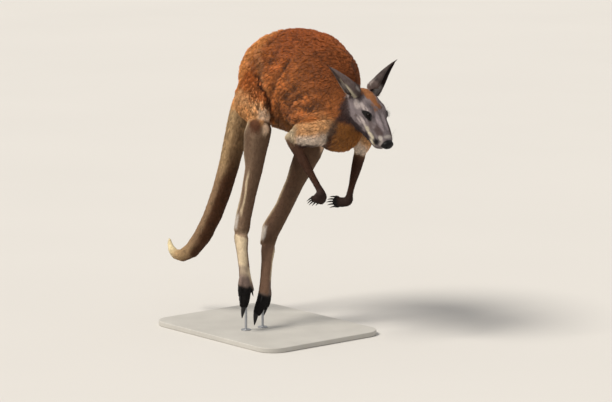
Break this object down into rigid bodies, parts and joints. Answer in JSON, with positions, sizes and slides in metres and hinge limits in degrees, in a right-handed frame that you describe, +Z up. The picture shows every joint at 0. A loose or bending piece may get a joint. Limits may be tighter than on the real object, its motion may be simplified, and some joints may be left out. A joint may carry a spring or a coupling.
{
  "type": "kangaroo figure",
  "caption": "Life-size red kangaroo in mid hop, leaning into a turn, head low and ears spread, held by slim rods on a flat display base.",
  "frame": {"origin": "centre of the underside of the display base, which rests on the floor", "axes": "+X the way the animal heads, +Y to its left, +Z up"},
  "size_m": [1.1922, 0.6439, 1.2233],
  "materials": {
    "red_coat": "short dense fur, rust red",
    "pale_coat": "short fur, cream to grey buff",
    "face_coat": "very short fur, blue grey",
    "dark_coat": "short fur, dark brown to black",
    "nose_leather": "bare, finely pebbled, moist",
    "eye": "polished, dark brown",
    "claw": "horn, worn satin",
    "rod_steel": "brushed",
    "base_board": "board painted pale grey, satin"
  },
  "bodies": {
    "root": {"rump": "red_coat", "loins": "red_coat", "chest": "red_coat", "neck": "red_coat", "head": "face_coat", "jaw": "face_coat", "nose": "nose_leather", "tail_base": "pale_coat", "tail_middle": "pale_coat", "tail_tip": "pale_coat", "eye_left": "eye", "ear_left": "face_coat", "thigh_left": "red_coat", "shank_left": "pale_coat", "foot_left": "pale_coat", "claw_foot_left_main": "claw", "claw_foot_left_outer": "claw", "claw_foot_left_inner_upper": "claw", "claw_foot_left_inner_lower": "claw", "upper_arm_left": "red_coat", "forearm_left": "dark_coat", "hand_left": "dark_coat", "claw_hand_left_1": "claw", "claw_hand_left_2": "claw", "claw_hand_left_3": "claw", "claw_hand_left_4": "claw", "claw_hand_left_5": "claw", "stand_rod_left": "rod_steel", "eye_right": "eye", "ear_right": "face_coat", "thigh_right": "red_coat", "shank_right": "pale_coat", "foot_right": "pale_coat", "claw_foot_right_main": "claw", "claw_foot_right_outer": "claw", "claw_foot_right_inner_upper": "claw", "claw_foot_right_inner_lower": "claw", "upper_arm_right": "red_coat", "forearm_right": "dark_coat", "hand_right": "dark_coat", "claw_hand_right_1": "claw", "claw_hand_right_2": "claw", "claw_hand_right_3": "claw", "claw_hand_right_4": "claw", "claw_hand_right_5": "claw", "stand_rod_right": "rod_steel", "stand_base": "base_board"}
  },
  "joints": []
}
